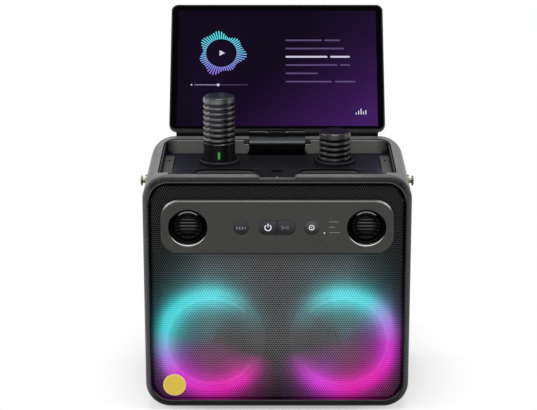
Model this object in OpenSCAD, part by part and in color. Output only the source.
// Portable karaoke machine: a rounded speaker cabinet with a tray top, two
// docked microphones and a tilting lyrics display on a friction hinge.
// Millimetres. X runs left to right, Y from the grille to the rear, Z up.
// The origin is the middle of the model's footprint at floor level.

/* [Cabinet] */
// Width of the cabinet
body_w = 356; // [350:1:390]
// Depth of the cabinet, front rim to rear rim
body_d = 209; // [205:1:240]
// Height of the cabinet shell, without its feet
body_h = 327; // [322:1:360]
// Radius of the four long corners
corner_r = 34; // [30:1:40]
// Wall of the shell
wall = 4.5; // [3:0.25:6]
// Width of the front lip at each side
lip_w = 7; // [7:0.5:9]
// Width of the front lip at the top and the bottom
lip_h = 8.6; // [8:0.2:10]
// Depth of the front lip
lip_d = 10; // [9:0.5:11]
// Rounding of the front edge
front_edge_r = 7; // [4:0.5:7]
// Rounding of the rear edge
rear_edge_r = 3; // [2:0.5:4]
// Height of the rubber feet
foot_h = 3; // [2:0.5:8]
// Diameter of a rubber foot
foot_d = 30; // [20:1:34]
// Distance of a foot's centre from the cabinet's side
foot_inset_x = 52; // [50:1:70]
// Distance of a foot's centre from the front and the rear
foot_inset_y = 38; // [30:1:60]
// Thickness of the board that carries the speakers
baffle_t = 7; // [5:0.5:7]
// Thickness of the rear cover
cover_t = 3; // [2:0.5:4]
// Depth of the rear cover below the rear rim
cover_inset = 2; // [1:0.5:3]

/* [Grille] */
// Depth of the grille's face behind the front rim
grille_y = 2.2; // [1.8:0.1:2.6]
// Thickness of the perforated sheet
grille_t = 1.2; // [0.8:0.1:1.4]
// Diameter of a hole in the sheet
grille_hole_d = 8; // [5:0.5:9]
// Distance between two holes
grille_pitch = 11.6; // [11:0.2:16]
// Width of the plain border of the sheet
grille_border = 7; // [5:0.5:12]
// Width of the bright trim round the grille
trim_w = 1.6; // [1:0.1:2.4]

/* [Control panel] */
// Distance of the panel's ends from the cabinet's sides
panel_side = 24; // [20:0.5:25]
// Height of the panel
panel_h = 73.4; // [72:0.2:84]
// Corner radius of the panel
panel_r = 24; // [16:1:30]
// Distance of the panel's centre below the cabinet's top
panel_drop = 70.2; // [68:0.2:76]
// How far the panel stands proud of the front rim
panel_proud = 3.5; // [2.5:0.25:4.5]
// Chamfer round the panel's face
panel_chamfer = 1.4; // [0.5:0.1:2]
// Overlap of the panel's flange on the grille
panel_flange = 5; // [3:0.5:6]
// Diameter of the two end buttons
button_d = 19.4; // [17:0.2:21]
// Width of the divided middle button
pill_w = 48.4; // [44:0.4:52]
// Distance of the left button from the centre
bass_x = 47.6; // [46:0.2:52]
// Distance of the right button from the centre
record_x = 45.6; // [44:0.2:50]
// How far a button travels
button_travel = 1.2; // [0.8:0.1:1.3]
// Distance of the indicators from the centre
indicator_x = 62.5; // [60:0.5:70]
// Height between two indicators
indicator_pitch = 7.4; // [5:0.2:9]

/* [Tweeters] */
// Distance of a tweeter's centre from the panel's end
tweeter_side = 36; // [35:0.5:38]
// Diameter of the tweeter's opening in the panel
tweeter_d = 52; // [46:1:56]
// Diameter of the horn's throat
throat_d = 30; // [24:1:34]
// Outer diameter of the chrome guard
guard_d = 40; // [36:0.5:42]
// Diameter of the tweeter's motor
tweeter_motor_d = 35; // [30:1:40]

/* [Woofers] */
// Distance of a woofer's centre from the middle, as a share of the cabinet's width
woofer_share = 0.2472; // [0.24:0.002:0.25]
// Height of a woofer above the cabinet's underside
woofer_rise = 93.2; // [90:0.5:100]
// Outer diameter of the woofer's frame
frame_d = 144; // [140:1:150]
// Diameter of the cone and its surround
cone_d = 112; // [104:1:116]
// Diameter of the light ring, along its middle
ring_d = 122; // [121:0.5:126]
// Thickness of the light ring
ring_t = 4.8; // [3:0.2:5.6]
// Depth of the woofer's basket
basket_d = 42; // [36:1:50]
// Diameter of the magnet
magnet_d = 70; // [60:1:80]
// Thickness of the magnet
magnet_t = 20; // [14:1:26]

/* [Tray top] */
// Width of the rim in front of the tray
top_front = 16.2; // [14:0.2:17]
// Width of the rim behind the tray
top_rear = 18.4; // [17.4:0.2:20]
// Width of the rim at each side of the tray
top_side = 19.4; // [18:0.2:22]
// Corner radius of the tray
top_r = 14; // [9:1:20]
// Depth of the tray below the cabinet's top
tray_depth = 21; // [18:0.5:26]
// Thickness of the tray's moulding
tray_t = 2.2; // [1.6:0.1:3]
// Gap between the tray and the rim
tray_gap = 0.8; // [0.4:0.1:1.2]
// Height of the raised front deck of the tray
deck_h = 3; // [2:0.25:4]
// Distance from the rim to the rear edge of the deck
deck_d = 95; // [92:1:98]
// Length of a pill-shaped well
well_l = 84; // [76:1:86]
// Width of a pill-shaped well
well_w = 38; // [30:1:42]
// Depth of a pill-shaped well
well_d = 7; // [4:0.5:10]
// Distance of a well's centre from the centre
well_x = 71; // [68:1:74]
// Width of the light strip at each side
strip_w = 12.4; // [9:0.2:13]
// Length of a light strip
strip_l = 140; // [120:1:144]
// Width of the finger notch at the top
notch_w = 59; // [50:1:66]
// Width of the finger notch at its bottom
notch_low_w = 46; // [40:1:50]
// Depth of the finger notch
notch_d = 5.1; // [4.8:0.1:6]

/* [Microphones] */
// Diameter of a microphone
mic_d = 44; // [40:0.5:46]
// Length of a microphone
mic_l = 149.2; // [138:0.2:154]
// Distance of a microphone from the centre
mic_x = 80; // [78:1:84]
// Distance of a microphone behind the front rim
mic_y = 148; // [147:1:150]
// Height of the docked microphone's top above the cabinet
mic_stand = 22.5; // [16:0.1:30]
// How far the left microphone is drawn out
mic_raise = 50; // [0:1:60]
// Height of the ribbed head
head_l = 64.2; // [56:0.2:68]
// Number of ribs on the head
rib_count = 8; // [6:1:10]
// Depth of a groove between two ribs
rib_depth = 2; // [1:0.25:3]
// Running gap round a microphone
mic_gap = 0.6; // [0.4:0.1:1]
// Width of the collar's ring
collar_w = 6.4; // [4:0.2:8]
// Height of the collar
collar_h = 5; // [3:0.5:8]

/* [Display] */
// Thickness of the display
display_t = 12; // [11:0.5:16]
// Corner radius of the display
display_r = 9.8; // [8:0.2:14]
// Angle that the display leans back
lean = 37.3; // [20:0.1:45]
// Thickness of the display's foot at the hinge
spine_t = 20.9; // [19:0.1:24]
// Height of the display's foot
spine_h = 16; // [12:1:24]
// How far the foot's rear edge hangs below the display's lower edge
spine_drop = 4; // [2:0.5:6]
// Width of the display's foot
spine_w = 286; // [240:1:288]
// Width of the bright band round the glass
bezel_w = 2; // [1:0.25:3]
// Width of the picture area
screen_w = 285; // [270:1:300]
// Height of the picture area
screen_h = 181.2; // [160:0.2:200]
// Height of the picture area's lower edge above the display's
screen_low = 6.3; // [6:0.1:9]
// Width of the border beside the picture area
screen_side = 10; // [9:0.5:12]
// Height of the border above the picture area
screen_high = 9.5; // [8.5:0.5:12]

/* [Hinge] */
// Height of the hinge's axis above the cabinet's top
hinge_rise = 4.7; // [4.6:0.1:6]
// Distance of the hinge's axis from the cabinet's rear
hinge_inset = 3.4; // [3:0.1:3.8]
// Depth of the axis behind the display's face
hinge_depth = 4; // [3.8:0.1:5]
// Distance of the axis below the display's lower edge
hinge_drop = 2.75; // [2.5:0.05:3.2]
// Width of the hinge bracket
hinge_w = 78; // [70:1:84]
// Radius of a hinge knuckle
knuckle_r = 3.7; // [3.3:0.1:3.8]
// Width of the display's own knuckle
knuckle_w = 27; // [20:1:34]
// Radius of the hinge pin
pin_r = 2; // [1.5:0.1:2.2]

/* [Fittings] */
// Diameter of the round badge
badge_d = 31; // [26:0.5:33]
// Distance of the badge from the cabinet's side
badge_x = 39; // [36:0.5:44]
// Height of the badge above the cabinet's underside
badge_rise = 32; // [30:0.5:40]
// Diameter of a strap stud's base ring
stud_d = 17; // [14:0.5:20]
// How far a strap stud stands out
stud_proud = 8.8; // [7:0.2:12]
// Distance of the studs behind the front rim
stud_y = 102; // [60:1:140]
// Distance of the studs below the cabinet's top
stud_drop = 35.7; // [35:0.1:60]

/* [Hidden] */
$fn = 64;

// Clearances
fit_gap = 0.3;
hinge_gap = 0.4;
pin_gap = 0.05;
button_gap = 0.4;

// Heights
base_z = foot_h;
rim_z = foot_h + body_h;
mid_z = foot_h + body_h / 2;
ceiling_z = rim_z - wall;
tray_z = rim_z - tray_depth;
tray_under_z = tray_z - tray_t;
panel_z = rim_z - panel_drop;
woofer_z = base_z + woofer_rise;
mic_rest_z = rim_z + mic_stand - mic_l;
hinge_z = rim_z + hinge_rise;

// Widths and heights that follow others
panel_w = body_w - 2 * panel_side;
tweeter_x = panel_w / 2 - tweeter_side;
woofer_x = body_w * woofer_share;
display_w = screen_w + 2 * screen_side;
display_h = screen_low + screen_h + screen_high;

// Depths
grille_back = grille_y + grille_t;
baffle_back = lip_d + baffle_t;
cover_back = body_d - cover_inset;
cover_front = cover_back - cover_t;
hinge_y = body_d - hinge_inset;
tray_mid_y = (top_front + body_d - top_rear) / 2;
tray_face_y = body_d - top_rear - tray_gap - tray_t;
tray_front_y = top_front + tray_gap;
deck_back_y = tray_front_y + deck_d;

// The model's reach in Y, from the panel's face to the display's far edge
back_edge_r = 5;
display_reach = (display_h - back_edge_r + hinge_drop) * sin(lean)
    + (display_t - back_edge_r - hinge_depth) * cos(lean) + back_edge_r;
mid_y = (hinge_y + display_reach - panel_proud) / 2;

shell_grey = [0.30, 0.30, 0.30];
rim_black = [0.10, 0.10, 0.10];
steel_black = [0.09, 0.09, 0.10];
panel_grey = [0.22, 0.22, 0.20];

// ---- Shared shapes -------------------------------------------------------

module place() translate([0, -mid_y, 0]) children();

// Models the left piece, or its mirror image on the right.
module on_side(side) mirror([side > 0 ? 1 : 0, 0, 0]) children();

module rounded_rect(w, h, r) {
    square([w - 2 * r, h], center = true);
    square([w, h - 2 * r], center = true);
    for (x = [-1, 1], z = [-1, 1])
        translate([x * (w / 2 - r), z * (h / 2 - r)]) circle(r);
}

module pill(l, w) {
    square([l - w, w], center = true);
    for (x = [-1, 1]) translate([x * (l - w) / 2, 0]) circle(d = w);
}

// Stands a flat outline up, facing the front, and fills it from y0 to y1.
module upright(y0, y1) {
    translate([0, y1, 0]) rotate([90, 0, 0]) linear_extrude(y1 - y0) children();
}

// Turns a profile of (radius, depth) about an axis that runs front to rear.
module turned(x, z) translate([x, 0, z]) rotate([-90, 0, 0]) rotate_extrude() children();

// Draws a profile of (depth, height) along the width.
module along_width(w) {
    translate([-w / 2, 0, 0]) rotate([90, 0, 90]) linear_extrude(w) children();
}

// Carries a profile of (distance inward, depth) round a rounded rectangle.
module swept_frame(w, h, r) {
    for (side = [0:3]) {
        along = side % 2 == 0 ? h : w;
        across = side % 2 == 0 ? w : h;
        rotate([0, -90 * side, 0]) {
            translate([across / 2, 0, r - along / 2])
                linear_extrude(along - 2 * r) mirror([1, 0]) children();
            translate([across / 2 - r, 0, along / 2 - r]) rotate([90, 0, 0])
                rotate_extrude(angle = 90) translate([r, 0]) rotate(180) children();
        }
    }
}

// ---- Cabinet -------------------------------------------------------------

module shell_outline(inset) {
    rounded_rect(body_w - 2 * inset, body_h - 2 * inset, corner_r - inset);
}

module grille_outline(inset) {
    rounded_rect(body_w - 2 * (lip_w + inset), body_h - 2 * (lip_h + inset),
        corner_r - lip_w - inset);
}

module tray_outline(inset) {
    translate([0, tray_mid_y])
        rounded_rect(body_w - 2 * (top_side + inset), body_d - top_front - top_rear - 2 * inset,
            top_r - inset);
}

// Section through the shell's rim: a round front edge, a smaller rear edge.
module edge_profile() {
    intersection() {
        square([lip_h, body_d]);
        union() {
            translate([front_edge_r, 0]) square([lip_h, front_edge_r]);
            translate([0, front_edge_r]) square([lip_h, body_d - front_edge_r - rear_edge_r]);
            translate([rear_edge_r, body_d - rear_edge_r]) square([lip_h, rear_edge_r]);
            translate([front_edge_r, front_edge_r]) circle(front_edge_r);
            translate([rear_edge_r, body_d - rear_edge_r]) circle(rear_edge_r);
        }
    }
}

// The front rim falls away towards the tray.
module rim_slope() {
    slope_start = front_edge_r + 1.5;
    along_width(body_w - 2 * corner_r)
        polygon([[slope_start, rim_z], [baffle_back, rim_z - 2.8],
            [baffle_back, rim_z + 1], [slope_start, rim_z + 1]]);
}

module finger_notch(extra, depth) {
    upright(-panel_proud, baffle_back + tray_t + 2)
        polygon([for (p = [[-1, 0], [1, 0], [1, 1], [-1, 1]])
            [p[0] * ((p[1] == 0 ? notch_low_w : notch_w) / 2 + extra),
                p[1] == 0 ? rim_z - depth : rim_z + 0.5]]);
}

boss_w = 12;
boss_d = 14;
boss_rise = 90;
boss_sunk = 1;
stud_pad = 0.8;

module outer_shell() color(shell_grey) place() {
    difference() {
        translate([0, 0, mid_z]) swept_frame(body_w, body_h, corner_r) edge_profile();
        translate([0, 0, mid_z]) upright(lip_d, body_d + 1) shell_outline(wall);
        translate([0, 0, mid_z]) upright(-1, lip_d + 1) grille_outline(0);
        translate([0, 0, rim_z - corner_r]) linear_extrude(corner_r + 1) tray_outline(0);
        rim_slope();
        finger_notch(0, notch_d);
        // seat of the hinge bracket in the rear rim
        translate([-hinge_w / 2 - fit_gap, body_d - top_rear - 1, ceiling_z - 1])
            cube([hinge_w + 2 * fit_gap, hinge_seat_d + 1, wall + 2]);
        // strap stud holes
        translate([-body_w / 2 - 1, stud_y, stud_z]) rotate([0, 90, 0])
            cylinder(r = stud_neck_r + 0.2, h = body_w + 2);
    }
    // screw bosses for the rear cover
    for (x = [-1, 1], z = [-1, 1])
        translate([x * (body_w / 2 - wall - boss_w / 2 + boss_sunk / 2), cover_front - boss_d / 2,
            mid_z + z * boss_rise]) cube([boss_w + boss_sunk, boss_d, 2 * boss_w], center = true);
    // flat pads inside, where the strap studs clamp the wall
    for (side = [-1, 1]) side_turned(side)
        translate([stud_neck_r + 0.2, -wall - stud_pad]) square([5, stud_pad + boss_sunk]);
}

module front_baffle() color("black") place() difference() {
    translate([0, 0, mid_z]) upright(lip_d, baffle_back) shell_outline(wall + fit_gap);
    for (side = [-1, 1]) {
        translate([side * woofer_x, -1, woofer_z]) rotate([-90, 0, 0])
            cylinder(d = cone_d + 4, h = baffle_back + 2);
        translate([side * tweeter_x, -1, panel_z]) rotate([-90, 0, 0])
            cylinder(d = tweeter_motor_d + 1, h = baffle_back + 2);
    }
    // room for a fingertip behind the notch in the rim
    translate([-notch_w / 2 - 1, -1, latch_z])
        cube([notch_w + 2, baffle_back + 2, rim_z]);
}

latch_z = rim_z - 12.5;

module latch_stud() color("silver") place() {
    translate([-6, lip_d + 1, latch_z]) cube([12, baffle_t - 1.4, 4.5]);
    translate([0, lip_d + baffle_t / 2 + 0.3, latch_z + 4.5]) intersection() {
        sphere(2.4);
        cylinder(r = 3, h = 3);
    }
}

// Perforated sheet with a folded edge that rests on the baffle.
module front_grille() color(steel_black) place() {
    row = grille_pitch * sqrt(3) / 2;
    rows = floor((body_h - 2 * (lip_h + grille_border)) / 2 / row);
    columns = floor((body_w - 2 * (lip_w + grille_border)) / 2 / grille_pitch);
    reach_x = body_w / 2 - lip_w - grille_border - grille_hole_d / 2;
    reach_z = body_h / 2 - lip_h - grille_border - grille_hole_d / 2;
    bend = corner_r - lip_w - grille_border;
    panel_up = panel_z - mid_z;
    keep_x = panel_w / 2 + grille_hole_d / 2;
    keep_z = panel_h / 2 + grille_hole_d / 2;
    translate([0, 0, mid_z]) upright(grille_y, grille_back) difference() {
        grille_outline(fit_gap);
        translate([0, panel_up]) panel_outline(panel_flange - fit_gap);
        for (j = [-rows:rows], i = [-columns:columns]) {
            x = (i + (abs(j) % 2) / 2) * grille_pitch;
            z = j * row;
            over_x = abs(x) - reach_x + bend;
            over_z = abs(z) - reach_z + bend;
            in_corner = over_x > 0 && over_z > 0 && norm([over_x, over_z]) > bend;
            if (abs(x) < reach_x && abs(z) < reach_z && !in_corner
                && (abs(x) > keep_x || abs(z - panel_up) > keep_z))
                translate([x, z]) circle(d = grille_hole_d, $fn = 24);
        }
    }
    translate([0, 0, mid_z]) upright(grille_back, lip_d) difference() {
        grille_outline(fit_gap);
        grille_outline(fit_gap + grille_t);
    }
}

module grille_trim() color("dimgray") place() translate([0, 0, mid_z])
    upright(grille_y - 1.2, grille_y) difference() {
        grille_outline(0.1);
        grille_outline(0.1 + trim_w);
    }

module rear_cover() color("black") place() {
    difference() {
        translate([0, 0, mid_z]) upright(cover_front, cover_back)
            shell_outline(wall + fit_gap);
        translate([0, cover_front - 1, inlet_z]) rotate([-90, 0, 0])
            cylinder(r = inlet_r + 0.1, h = cover_t + 2);
    }
    for (x = [-1, 1], z = [-1, 1])
        translate([x * (board_w / 2 - pillar_inset), board_y + board_t,
            board_z + z * (board_h / 2 - pillar_inset)])
            rotate([-90, 0, 0]) cylinder(r = pillar_r, h = cover_front - board_y - board_t);
}

module feet() color("black") place()
    for (x = [-1, 1], y = [foot_inset_y, body_d - foot_inset_y])
        translate([x * (body_w / 2 - foot_inset_x), y, 0]) {
            cylinder(d1 = foot_d - 2, d2 = foot_d, h = 1);
            translate([0, 0, 1]) cylinder(d = foot_d, h = foot_h - 1);
        }

// ---- Control panel -------------------------------------------------------

module panel_outline(inset) rounded_rect(panel_w - 2 * inset, panel_h - 2 * inset, panel_r - inset);

pocket_y = 5.5;
flange_t = 0.8;
pcb_y = lip_d - 1.8;
pcb_w = 150;
pcb_h = 26;

module button_hole(x) translate([x, 0]) circle(d = button_d + 2 * button_gap);

module control_panel() color(panel_grey) place() translate([0, 0, panel_z]) difference() {
    union() {
        swept_frame(panel_w, panel_h, panel_r)
            polygon([[panel_chamfer, -panel_proud], [panel_flange, -panel_proud],
                [panel_flange, grille_y], [0, grille_y], [0, panel_chamfer - panel_proud]]);
        upright(-panel_proud, grille_y) panel_outline(panel_flange);
        upright(grille_y, lip_d) panel_outline(panel_flange);
    }
    upright(-panel_proud - 1, lip_d + 1) {
        for (x = [-1, 1]) translate([x * tweeter_x, 0]) circle(d = tweeter_d);
        button_hole(-bass_x);
        button_hole(record_x);
        pill(pill_w + 2 * button_gap, button_d + 2 * button_gap);
        for (i = [-1:1]) translate([indicator_x, i * indicator_pitch]) circle(r = 0.9);
    }
    translate([-pcb_w / 2 - 0.2, pocket_y, -pcb_h / 2 - 0.2])
        cube([pcb_w + 0.4, lip_d, pcb_h + 0.4]);
}

// A round cap with a flange that stops it behind the panel.
module round_button(x) place() translate([x, 0, panel_z]) {
    upright(0.2 - panel_proud, pocket_y) circle(d = button_d);
    upright(pocket_y, pocket_y + flange_t) circle(d = button_d + 2.4);
}

module half_pill(grow) intersection() {
    pill(pill_w + 2 * grow, button_d + 2 * grow);
    translate([-pill_w, -button_d]) square([pill_w - 0.4, 2 * button_d]);
}

module half_button() place() translate([0, 0, panel_z]) {
    upright(0.2 - panel_proud, pocket_y) half_pill(0);
    upright(pocket_y, pocket_y + flange_t) half_pill(1.2);
}

module bass_button() color("gray") round_button(-bass_x);
module record_button() color("silver") round_button(record_x);
module power_button() color("gray") half_button();
module pair_button() color("gray") mirror([1, 0, 0]) half_button();

module indicator_lenses() color("white") place()
    for (i = [-1:1]) translate([indicator_x, -panel_proud, panel_z + i * indicator_pitch])
        rotate([-90, 0, 0]) cylinder(r = 0.8, h = pcb_y + panel_proud);

module button_board() color("darkgreen") place()
    translate([-pcb_w / 2, pcb_y, panel_z - pcb_h / 2]) cube([pcb_w, lip_d - pcb_y, pcb_h]);

module round_badge() color([0.84, 0.76, 0.27]) place()
    turned(badge_x - body_w / 2, base_z + badge_rise)
        polygon([[0, grille_y - 1.2], [badge_d / 2 - 0.6, grille_y - 1.2],
            [badge_d / 2, grille_y - 0.6], [badge_d / 2, grille_y], [0, grille_y]]);

// ---- Tweeters ------------------------------------------------------------

horn_front = 1.5 - panel_proud;
throat_y = 7.5;
driver_seat = 0.2;
driver_motor_l = 24;

mouth_r = tweeter_d / 2 - 0.9;

// The horn is a bowl, a quarter of an ellipse from its mouth to its throat.
function horn_point(t) = [
    throat_d / 2 + (mouth_r - throat_d / 2) * cos(t),
    horn_front + (throat_y - horn_front) * sin(t)];

module tweeter_horn(side) color("black") place() on_side(side) turned(-tweeter_x, panel_z)
    polygon(concat([for (i = [0:8]) horn_point(i * 90 / 8)],
        [[throat_d / 2, lip_d], [tweeter_d / 2 - 0.1, lip_d], [tweeter_d / 2 - 0.1, horn_front]]));

module tweeter_trim(side) color("silver") place() on_side(side) turned(-tweeter_x, panel_z)
    polygon([[tweeter_d / 2 - 1.9, horn_front], [tweeter_d / 2 - 1.5, horn_front - 0.9],
        [tweeter_d / 2 - 0.8, horn_front - 1.3], [tweeter_d / 2 - 0.1, horn_front - 1.3],
        [tweeter_d / 2 - 0.1, horn_front]]);

// A chrome ring with bars across it, held in the horn.
module tweeter_guard(side) color("silver") place() on_side(side) {
    ring_w = 1.6;
    ring_d = 2;
    bar_t = 1;
    seat_angle = acos((guard_d / 2 + 0.5 - throat_d / 2) / (mouth_r - throat_d / 2));
    ring_y = horn_point(seat_angle)[1] - ring_d;
    turned(-tweeter_x, panel_z) translate([guard_d / 2 - ring_w, ring_y])
        square([ring_w, ring_d]);
    translate([-tweeter_x, 0, panel_z]) upright(ring_y + 0.5, ring_y + 1.5) intersection() {
        circle(d = guard_d - ring_w);
        for (i = [-3:3]) translate([0, i * guard_d / 9]) square([guard_d, bar_t], center = true);
    }
}

module tweeter_driver(side) color("black") place() on_side(side) turned(-tweeter_x, panel_z) {
    dome_r = throat_d / 2 - 1;
    polygon(concat([for (a = [0:15:90]) [dome_r * sin(a), lip_d - 3 * cos(a)]],
        [[throat_d / 2 - driver_seat, lip_d], [throat_d / 2 - driver_seat, lip_d + driver_seat],
            [0, lip_d + driver_seat]]));
    translate([0, lip_d + driver_seat]) square([tweeter_motor_d / 2, driver_motor_l]);
}

// ---- Woofers and light rings ---------------------------------------------

flange_y = lip_d - 2.4;
cone_r = cone_d / 2;
neck_r = 12.5;
basket_back = lip_d + basket_d;

module woofer_basket(side) color("dimgray") place() on_side(side) difference() {
    turned(-woofer_x, woofer_z) union() {
        polygon([[cone_r, flange_y], [frame_d / 2 - 2, flange_y],
            [frame_d / 2, flange_y + 0.8], [frame_d / 2, lip_d], [cone_r, lip_d]]);
        polygon([[cone_r, lip_d], [cone_r + 1.6, lip_d], [magnet_d / 2, basket_back - 4],
            [magnet_d / 2, basket_back], [neck_r + 3, basket_back], [neck_r + 3, basket_back - 2],
            [magnet_d / 2 - 4, basket_back - 4]]);
    }
    // windows between the basket's arms
    for (a = [30:60:330]) translate([-woofer_x, 0, woofer_z]) rotate([0, a, 0])
        translate([0, baffle_back + 4, -8]) cube([cone_r + 4, basket_d * 0.42, 16]);
}

module woofer_surround(side) color("black") place() on_side(side) turned(-woofer_x, woofer_z)
    intersection() {
        difference() {
            translate([cone_r - 4.2, flange_y + 1]) circle(4.2);
            translate([cone_r - 4.2, flange_y + 1]) circle(3.2);
        }
        translate([0, 0]) square([cone_r, flange_y + 1]);
    }

module woofer_cone(side) color("gray") place() on_side(side) turned(-woofer_x, woofer_z) {
    edge_r = cone_r - 7.4;
    neck_y = basket_back - 12;
    cap_r = 20;
    cap_edge_r = cap_r * sin(60);
    cap_y = neck_y + 0.4 - (cap_edge_r - neck_r) * (neck_y - flange_y - 1) / (edge_r - neck_r);
    polygon([[edge_r, flange_y + 1], [edge_r - 1, flange_y + 1], [neck_r, neck_y],
        [neck_r, basket_back + 4], [neck_r + 0.8, basket_back + 4], [neck_r + 0.8, neck_y]]);
    polygon(concat([for (a = [0:15:60]) [cap_r * sin(a), cap_y - cap_r * (cos(a) - 0.5)]],
        [[cap_edge_r - 1, cap_y + 1], [0, cap_y - cap_r * 0.5 + 1.2]]));
}

module woofer_magnet(side) color("dimgray") place() on_side(side) turned(-woofer_x, woofer_z)
    difference() {
        translate([0, basket_back]) square([magnet_d / 2, magnet_t]);
        translate([neck_r - 1, basket_back - 1]) square([2.6, 8]);
    }

// The lit arc is open towards the cabinet's middle.
arc_start = 43;
arc_sweep = 283;

module light_ring(side) color([0.6, 0.7, 1.0]) place() on_side(side)
    translate([-woofer_x, flange_y, woofer_z]) rotate([90, 0, 0]) rotate(arc_start)
        rotate_extrude(angle = arc_sweep) intersection() {
            translate([ring_d / 2, 0]) circle(d = ring_t);
            translate([0, 0]) square([ring_d, ring_t]);
        }

// ---- Tray top ------------------------------------------------------------

strip_x = body_w / 2 - top_side - tray_gap - tray_t - 0.4 - strip_w / 2;
deck_w = 2 * (strip_x - strip_w / 2 - 0.4);
deck_z = tray_z + deck_h;
well_y = deck_back_y - 13 - well_w / 2;
well_z = deck_z - well_d;
pocket_w = hinge_w;
pocket_top_z = tray_z + 7.3;
pocket_deep = 11;
pocket_front = 6;
pocket_z = tray_z - 3;
rest_z = mic_rest_z - 0.3;

module tray_space(z0, z1, inset) translate([0, 0, z0]) linear_extrude(z1 - z0) tray_outline(inset);

module pocket_wall(forward, top_z)
    translate([-pocket_w / 2 - tray_t, tray_face_y - forward - tray_t, pocket_z - tray_t])
        cube([pocket_w + 2 * tray_t, forward + pocket_deep + 2 * tray_t, top_z - pocket_z + tray_t]);

// Both mouldings of the tray in one.
module tray_shell() difference() {
    union() {
        // tub, cut to follow the cabinet's rounded top
        intersection() {
            difference() {
                tray_space(tray_under_z, rim_z, tray_gap);
                tray_space(tray_z, rim_z + 1, tray_gap + tray_t);
            }
            translate([0, 0, mid_z]) upright(0, body_d) shell_outline(1.8);
        }
        // flange that hangs the tub from the underside of the rim
        intersection() {
            difference() {
                tray_space(rim_z - corner_r, rim_z, -7);
                tray_space(rim_z - corner_r - 1, rim_z + 1, tray_gap + 0.1);
            }
            translate([0, 0, mid_z]) upright(baffle_back, cover_front - 0.5) difference() {
                shell_outline(wall);
                shell_outline(wall + 2.2);
            }
        }
        // raised deck with a sloping rear edge
        along_width(deck_w) polygon([[tray_front_y + tray_t - 1, tray_z - 1],
            [deck_back_y, tray_z - 1], [deck_back_y, tray_z],
            [deck_back_y - 13, deck_z], [tray_front_y + tray_t - 1, deck_z]]);
        for (x = [-1, 1]) translate([x * well_x, well_y, well_z - tray_t])
            linear_extrude(deck_z - well_z + tray_t - 1) pill(well_l + 2 * tray_t, well_w + 2 * tray_t);
        // walls of the pocket under the hinge
        pocket_wall(pocket_front, tray_z - 0.5);
        pocket_wall(-0.5, pocket_top_z + tray_t);
    }
    for (x = [-1, 1]) {
        translate([x * well_x, well_y, well_z]) linear_extrude(well_d + 1) pill(well_l, well_w);
        translate([x * mic_x, mic_y, tray_z - 20]) cylinder(r = mic_d / 2 + mic_gap + 0.4, h = 40);
    }
    translate([0, well_y + 4, deck_z - 2]) cylinder(d = 17, h = 5);
    // pocket under the hinge, sunk into the floor and the rear wall
    translate([-pocket_w / 2, tray_face_y - pocket_front, pocket_z])
        cube([pocket_w, pocket_front + pocket_deep, pocket_top_z - pocket_z]);
    // the bracket passes over the rear wall
    translate([-hinge_w / 2 - 8, tray_face_y - 0.1, nose_low_z - fit_gap])
        cube([hinge_w + 16, 30, 30]);
    finger_notch(1, rim_z - latch_z);
}

// The space of the floor moulding, under the walls and up to the deck's top.
module floor_space() {
    translate([-body_w, 0, 0]) cube([2 * body_w, body_d, tray_z]);
    translate([-deck_w / 2, tray_front_y + tray_t, 0]) cube([deck_w, deck_d - tray_t, deck_z + 0.5]);
}

module top_tray() color([0.08, 0.08, 0.11]) place() difference() {
    tray_shell();
    floor_space();
}

module tray_floor() color([0.08, 0.08, 0.11]) place() intersection() {
    tray_shell();
    floor_space();
}

strip_slot_l = 9;
strip_slot_w = 2.4;

module tray_strip(side) color([0.45, 0.42, 0.38]) place() on_side(side)
    translate([0, 0, tray_z]) linear_extrude(deck_h + 0.5) difference() {
        intersection() {
            translate([-strip_x, tray_front_y + tray_t + 5 + strip_l / 2])
                square([strip_w, strip_l], center = true);
            tray_outline(tray_gap + tray_t + 0.4);
        }
        for (y = [-0.34, 0.32]) translate([-strip_x, tray_front_y + tray_t + 5 + strip_l / 2 + y * strip_l])
            rotate(90) pill(strip_slot_l, strip_slot_w);
    }

// A ring with a rounded lip round the microphone.
module dock_collar(side) color("black") place() translate([side * mic_x, mic_y, tray_z])
    rotate_extrude() translate([mic_d / 2 + mic_gap, 0]) intersection() {
        square([collar_w, collar_h]);
        union() {
            square([collar_w, collar_h - collar_w / 2]);
            translate([collar_w / 2, collar_h - collar_w / 2]) circle(d = collar_w);
        }
    }

module dock_tube(side) color("black") place() translate([side * mic_x, mic_y, 0])
    rotate_extrude() {
        tube_r = mic_d / 2 + mic_gap;
        polygon([[0, rest_z - tray_t], [tube_r + tray_t, rest_z - tray_t],
            [tube_r + tray_t, tray_under_z], [tube_r, tray_under_z], [tube_r, rest_z],
            [0, rest_z]]);
    }

// ---- Microphones ---------------------------------------------------------

function mic_up(side) = mic_rest_z + (side < 0 ? mic_raise : 0);

module mic_place(side) place() translate([side * mic_x, mic_y, mic_up(side)]) children();

light_h = 10;
light_w = 3;
light_rise = mic_l - head_l - 15.6;

module mic_body(side) color([0.05, 0.05, 0.06]) mic_place(side) difference() {
    rotate_extrude() polygon([[0, 0], [mic_d / 2 - 1.5, 0], [mic_d / 2, 1.5],
        [mic_d / 2, mic_l - head_l - 1], [mic_d / 2 - 1, mic_l - head_l], [0, mic_l - head_l]]);
    translate([0, -mic_d / 2, light_rise]) cube([light_w + 0.2, 2.4, light_h + 0.2], center = true);
}

// Each rib of the head is a round swelling over a narrow groove; the last one closes the top.
cap_h = 3.8;
rib_pitch = (head_l - cap_h) / rib_count;
groove_w = 0.22;
top_round = 3.4;

function rib_points(i) = concat([[mic_d / 2 - rib_depth, i * rib_pitch]],
    [for (a = [0:30:(i < rib_count - 1 ? 180 : 90)]) [mic_d / 2 - rib_depth * (1 - sin(a)),
        (i + groove_w + (1 - groove_w) / 2 * (1 - cos(a))) * rib_pitch]]);

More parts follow.
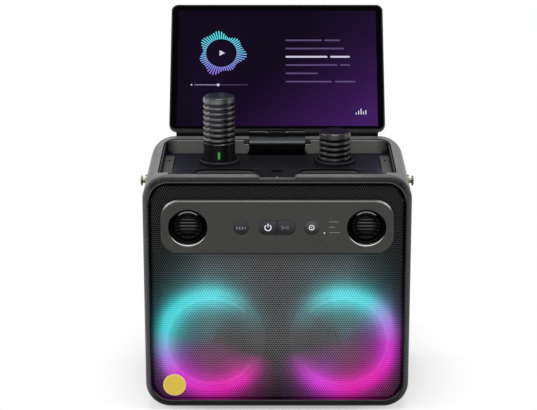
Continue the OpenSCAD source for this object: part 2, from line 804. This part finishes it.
module mic_head(side) color([0.05, 0.05, 0.06]) mic_place(side)
    translate([0, 0, mic_l - head_l]) rotate_extrude()
        polygon(concat([[0, 0]], [for (i = [0:rib_count - 1]) each rib_points(i)],
            [for (a = [22.5:22.5:90]) [mic_d / 2 - top_round * (1 - cos(a)),
                head_l - cap_h * (1 - sin(a))]],
            [[0, head_l]]));

module mic_light(side) color("lime") mic_place(side)
    translate([0, 0.5 - mic_d / 2, light_rise]) cube([light_w, 1.2, light_h], center = true);

// ---- Hinge and display ---------------------------------------------------

hinge_stop_d = 4.8;
hinge_seat_d = top_rear - hinge_stop_d;
nose_r = 2.3;
nose_reach = 2.1;
nose_drop = 7.4;
nose_y = tray_face_y - nose_r + nose_reach;
nose_low_z = rim_z - nose_drop;
seat_back_y = body_d - hinge_stop_d - fit_gap;
bracket_top_d = 12.5;
bracket_rise = 0.2;
ear_rise = 0.4;
ear_drop = 4;
ear_reach = 1.8;
ear_foot = 1.2;
hinge_cover_t = 1.1;
hinge_cover_gap = 1.7;
foot_plate_w = 7;
foot_plate_d = 0.8;

module hinge_bracket() color([0.18, 0.20, 0.21]) place() {
    difference() {
        union() {
            along_width(hinge_w) union() {
                translate([nose_y, nose_low_z + nose_r]) circle(nose_r);
                polygon([[nose_y, nose_low_z], [seat_back_y, nose_low_z],
                    [seat_back_y, rim_z + bracket_rise], [body_d - bracket_top_d, rim_z + bracket_rise],
                    [nose_y, nose_low_z + 2 * nose_r]]);
            }
            // ears that carry the fixed knuckles
            for (x = [-1, 1]) {
                ear_w = (hinge_w - knuckle_w) / 2 - hinge_gap;
                translate([x * (hinge_w - ear_w) / 2, 0, 0]) along_width(ear_w) union() {
                    translate([hinge_y, hinge_z]) circle(knuckle_r);
                    polygon([[seat_back_y - ear_foot, nose_low_z + ear_drop],
                        [seat_back_y, nose_low_z + ear_drop],
                        [seat_back_y, rim_z + ear_rise], [hinge_y + ear_reach, rim_z + ear_rise],
                        [hinge_y + ear_reach, hinge_z], [seat_back_y - ear_foot, hinge_z]]);
                }
            }
            // lip that hides the display's knuckle
            translate([0, 0, rim_z]) along_width(knuckle_w + 2 * hinge_gap)
                translate([hinge_y - knuckle_r - hinge_cover_gap, 0])
                    square([hinge_cover_t, hinge_rise + 0.7]);
            // foot plate screwed up against the underside of the rim
            translate([-hinge_w / 2 - foot_plate_w, body_d - top_rear + foot_plate_d, nose_low_z])
                cube([hinge_w + 2 * foot_plate_w, seat_back_y - body_d + top_rear - foot_plate_d,
                    ceiling_z - nose_low_z]);
        }
        translate([-hinge_w, hinge_y, hinge_z]) rotate([0, 90, 0])
            cylinder(r = pin_r + pin_gap, h = 2 * hinge_w);
    }
}

module hinge_pin() color("silver") place()
    translate([-hinge_w / 2 + 1, hinge_y, hinge_z]) rotate([0, 90, 0])
        cylinder(r = pin_r, h = hinge_w - 2);

// Display parts are modelled upright with the face at y = 0 and the lower
// edge at z = 0, then leaned back about the hinge's axis.
module lean_back() place() translate([0, hinge_y, hinge_z]) rotate([-lean, 0, 0])
    translate([0, -hinge_depth, hinge_drop]) children();

module display_outline(inset) translate([0, display_h / 2])
    rounded_rect(display_w - 2 * inset, display_h - 2 * inset, display_r - inset);

band_d = 2.5;
glass_t = 1.2;
glass_y = 0.3;
panel_back = 3.5;

module display_back() color([0.12, 0.12, 0.13]) lean_back() difference() {
    union() {
        translate([0, 0, display_h / 2]) swept_frame(display_w, display_h, display_r)
            intersection() {
                translate([0, band_d]) square([8, display_t - band_d]);
                union() {
                    translate([0, band_d]) square([8, display_t - band_d - back_edge_r]);
                    translate([back_edge_r, band_d]) square([8, display_t - band_d]);
                    translate([back_edge_r, display_t - back_edge_r]) circle(back_edge_r);
                }
            }
        upright(band_d, display_t) display_outline(7.5);
        upright(glass_y + glass_t, band_d) display_outline(bezel_w + 0.1);
        // foot of the display, thicker for the hinge
        along_width(spine_w) polygon([[band_d, 0.2], [band_d + 1, 0], [spine_t - 9, 0],
            [spine_t - 1.5, -spine_drop], [spine_t, 1.5 - spine_drop], [spine_t, spine_h], [display_t - 1, spine_h * 2.4], [band_d, spine_h * 2.4]]);
        // knuckle between the ears
        along_width(knuckle_w) union() {
            translate([hinge_depth, -hinge_drop]) circle(knuckle_r);
            translate([band_d + 0.1, -hinge_drop])
                square([2 * (hinge_depth - band_d - 0.1) + 1, hinge_drop + 1]);
        }
    }
    // grooves for the fixed knuckles
    for (x = [-1, 1]) translate([x * (hinge_w + knuckle_w) / 4, 0, 0])
        along_width((hinge_w - knuckle_w) / 2 + 2 * hinge_gap)
            translate([hinge_depth, -hinge_drop]) circle(knuckle_r + hinge_gap);
    translate([-hinge_w, hinge_depth, -hinge_drop]) rotate([0, 90, 0])
        cylinder(r = pin_r + pin_gap, h = 2 * hinge_w);
    // seat of the picture panel
    translate([0, 0, screen_low + screen_h / 2]) upright(-1, panel_back)
        square([screen_w + 0.4, screen_h + 0.4], center = true);
}

module display_band() color("dimgray") lean_back() difference() {
    translate([0, 0, display_h / 2]) swept_frame(display_w, display_h, display_r)
        polygon([[0.6, 0], [bezel_w, 0], [bezel_w, band_d], [0, band_d], [0, 0.6]]);
    for (x = [-1, 1]) translate([x * (hinge_w + knuckle_w) / 4, 0, 0])
        along_width((hinge_w - knuckle_w) / 2 + 2 * hinge_gap)
            translate([hinge_depth, -hinge_drop]) circle(knuckle_r + hinge_gap);
    along_width(knuckle_w + 0.2) translate([hinge_depth, -hinge_drop]) circle(knuckle_r + 0.1);
}

module display_glass() color([0.05, 0.04, 0.08]) lean_back()
    upright(glass_y, glass_y + glass_t) display_outline(bezel_w + 0.1);

module display_panel() color([0.25, 0.12, 0.40]) lean_back()
    translate([0, 0, screen_low + screen_h / 2]) upright(glass_y + glass_t, panel_back)
        square([screen_w, screen_h], center = true);

// ---- Fittings ------------------------------------------------------------

stud_z = rim_z - stud_drop;
stud_neck_r = 3.5;

// Turns a profile of (radius, distance out) about an axis through the side.
module side_turned(side) translate([side * body_w / 2, stud_y, stud_z])
    rotate([0, side * 90, 0]) rotate_extrude() children();

module strap_washers() color([0.75, 0.60, 0.30]) place() for (side = [-1, 1]) side_turned(side)
    polygon([[stud_neck_r + 0.1, 0], [stud_d / 2, 0], [stud_d / 2, 1.2],
        [stud_d / 2 - 0.8, 2], [stud_neck_r + 0.1, 2]]);

module strap_studs() color("silver") place() for (side = [-1, 1]) side_turned(side)
    polygon([[0, -wall - 4], [stud_neck_r + 3, -wall - 4], [stud_neck_r + 3, -wall - stud_pad],
        [stud_neck_r, -wall - stud_pad], [stud_neck_r, stud_proud - 3.4], [stud_d / 2 - 1.6, stud_proud - 3],
        [stud_d / 2 - 1.2, stud_proud - 1.8], [stud_d / 2 - 3, stud_proud - 0.5],
        [0, stud_proud]]);

inlet_r = 5.6;
inlet_rise = 60;
inlet_z = base_z + inlet_rise;
inlet_bore_r = 3.2;
inlet_bore_l = 9;
inlet_l = 11;
inlet_pin_r = 1;
inlet_pin_l = 2;
inlet_flange_w = 2.4;
inlet_flange_t = 1.6;
board_w = 180;
board_h = 90;
board_t = 1.6;
pillar_inset = 8;
pillar_r = 3.5;
board_gap = 14;
board_rise = 150;
board_y = cover_front - board_gap;
board_z = base_z + board_rise;

module power_inlet() color("black") place() turned(0, inlet_z) {
    polygon([[inlet_bore_r, cover_back - inlet_bore_l], [inlet_bore_r, cover_back + 0.4],
        [inlet_r, cover_back + 0.4], [inlet_r, cover_front],
        [inlet_r + inlet_flange_w, cover_front],
        [inlet_r + inlet_flange_w, cover_front - inlet_flange_t],
        [inlet_r, cover_front - inlet_flange_t], [inlet_r, cover_back - inlet_l],
        [0, cover_back - inlet_l], [0, cover_back - inlet_pin_l],
        [inlet_pin_r, cover_back - inlet_pin_l], [inlet_pin_r, cover_back - inlet_bore_l]]);
}

module main_board() color("darkgreen") place()
    translate([-board_w / 2, board_y, board_z - board_h / 2]) cube([board_w, board_t, board_h]);

battery_w = 140;
battery_d = 44;
battery_h = 46;
battery_gap = 6;

module battery_pack() color("darkblue") place()
    translate([-battery_w / 2, cover_front - battery_d - battery_gap, base_z + wall])
        cube([battery_w, battery_d, battery_h]);

outer_shell();
front_baffle();
front_grille();
grille_trim();
rear_cover();
feet();
control_panel();
bass_button();
power_button();
pair_button();
record_button();
indicator_lenses();
button_board();
round_badge();
tweeter_trim(-1);  // tweeter_trim_left
tweeter_trim(1);  // tweeter_trim_right
tweeter_horn(-1);  // tweeter_horn_left
tweeter_horn(1);  // tweeter_horn_right
tweeter_guard(-1);  // tweeter_guard_left
tweeter_guard(1);  // tweeter_guard_right
tweeter_driver(-1);  // tweeter_driver_left
tweeter_driver(1);  // tweeter_driver_right
woofer_basket(-1);  // woofer_basket_left
woofer_basket(1);  // woofer_basket_right
woofer_surround(-1);  // woofer_surround_left
woofer_surround(1);  // woofer_surround_right
woofer_cone(-1);  // woofer_cone_left
woofer_cone(1);  // woofer_cone_right
woofer_magnet(-1);  // woofer_magnet_left
woofer_magnet(1);  // woofer_magnet_right
light_ring(-1);  // light_ring_left
light_ring(1);  // light_ring_right
top_tray();
tray_floor();
tray_strip(-1);  // tray_strip_left
tray_strip(1);  // tray_strip_right
dock_collar(-1);  // dock_collar_left
dock_collar(1);  // dock_collar_right
dock_tube(-1);  // dock_tube_left
dock_tube(1);  // dock_tube_right
latch_stud();
mic_body(-1);  // mic_body_left
mic_body(1);  // mic_body_right
mic_head(-1);  // mic_head_left
mic_head(1);  // mic_head_right
mic_light(-1);  // mic_light_left
mic_light(1);  // mic_light_right
hinge_bracket();
hinge_pin();
display_back();
display_band();
display_glass();
display_panel();
strap_washers();
strap_studs();
power_inlet();
main_board();
battery_pack();
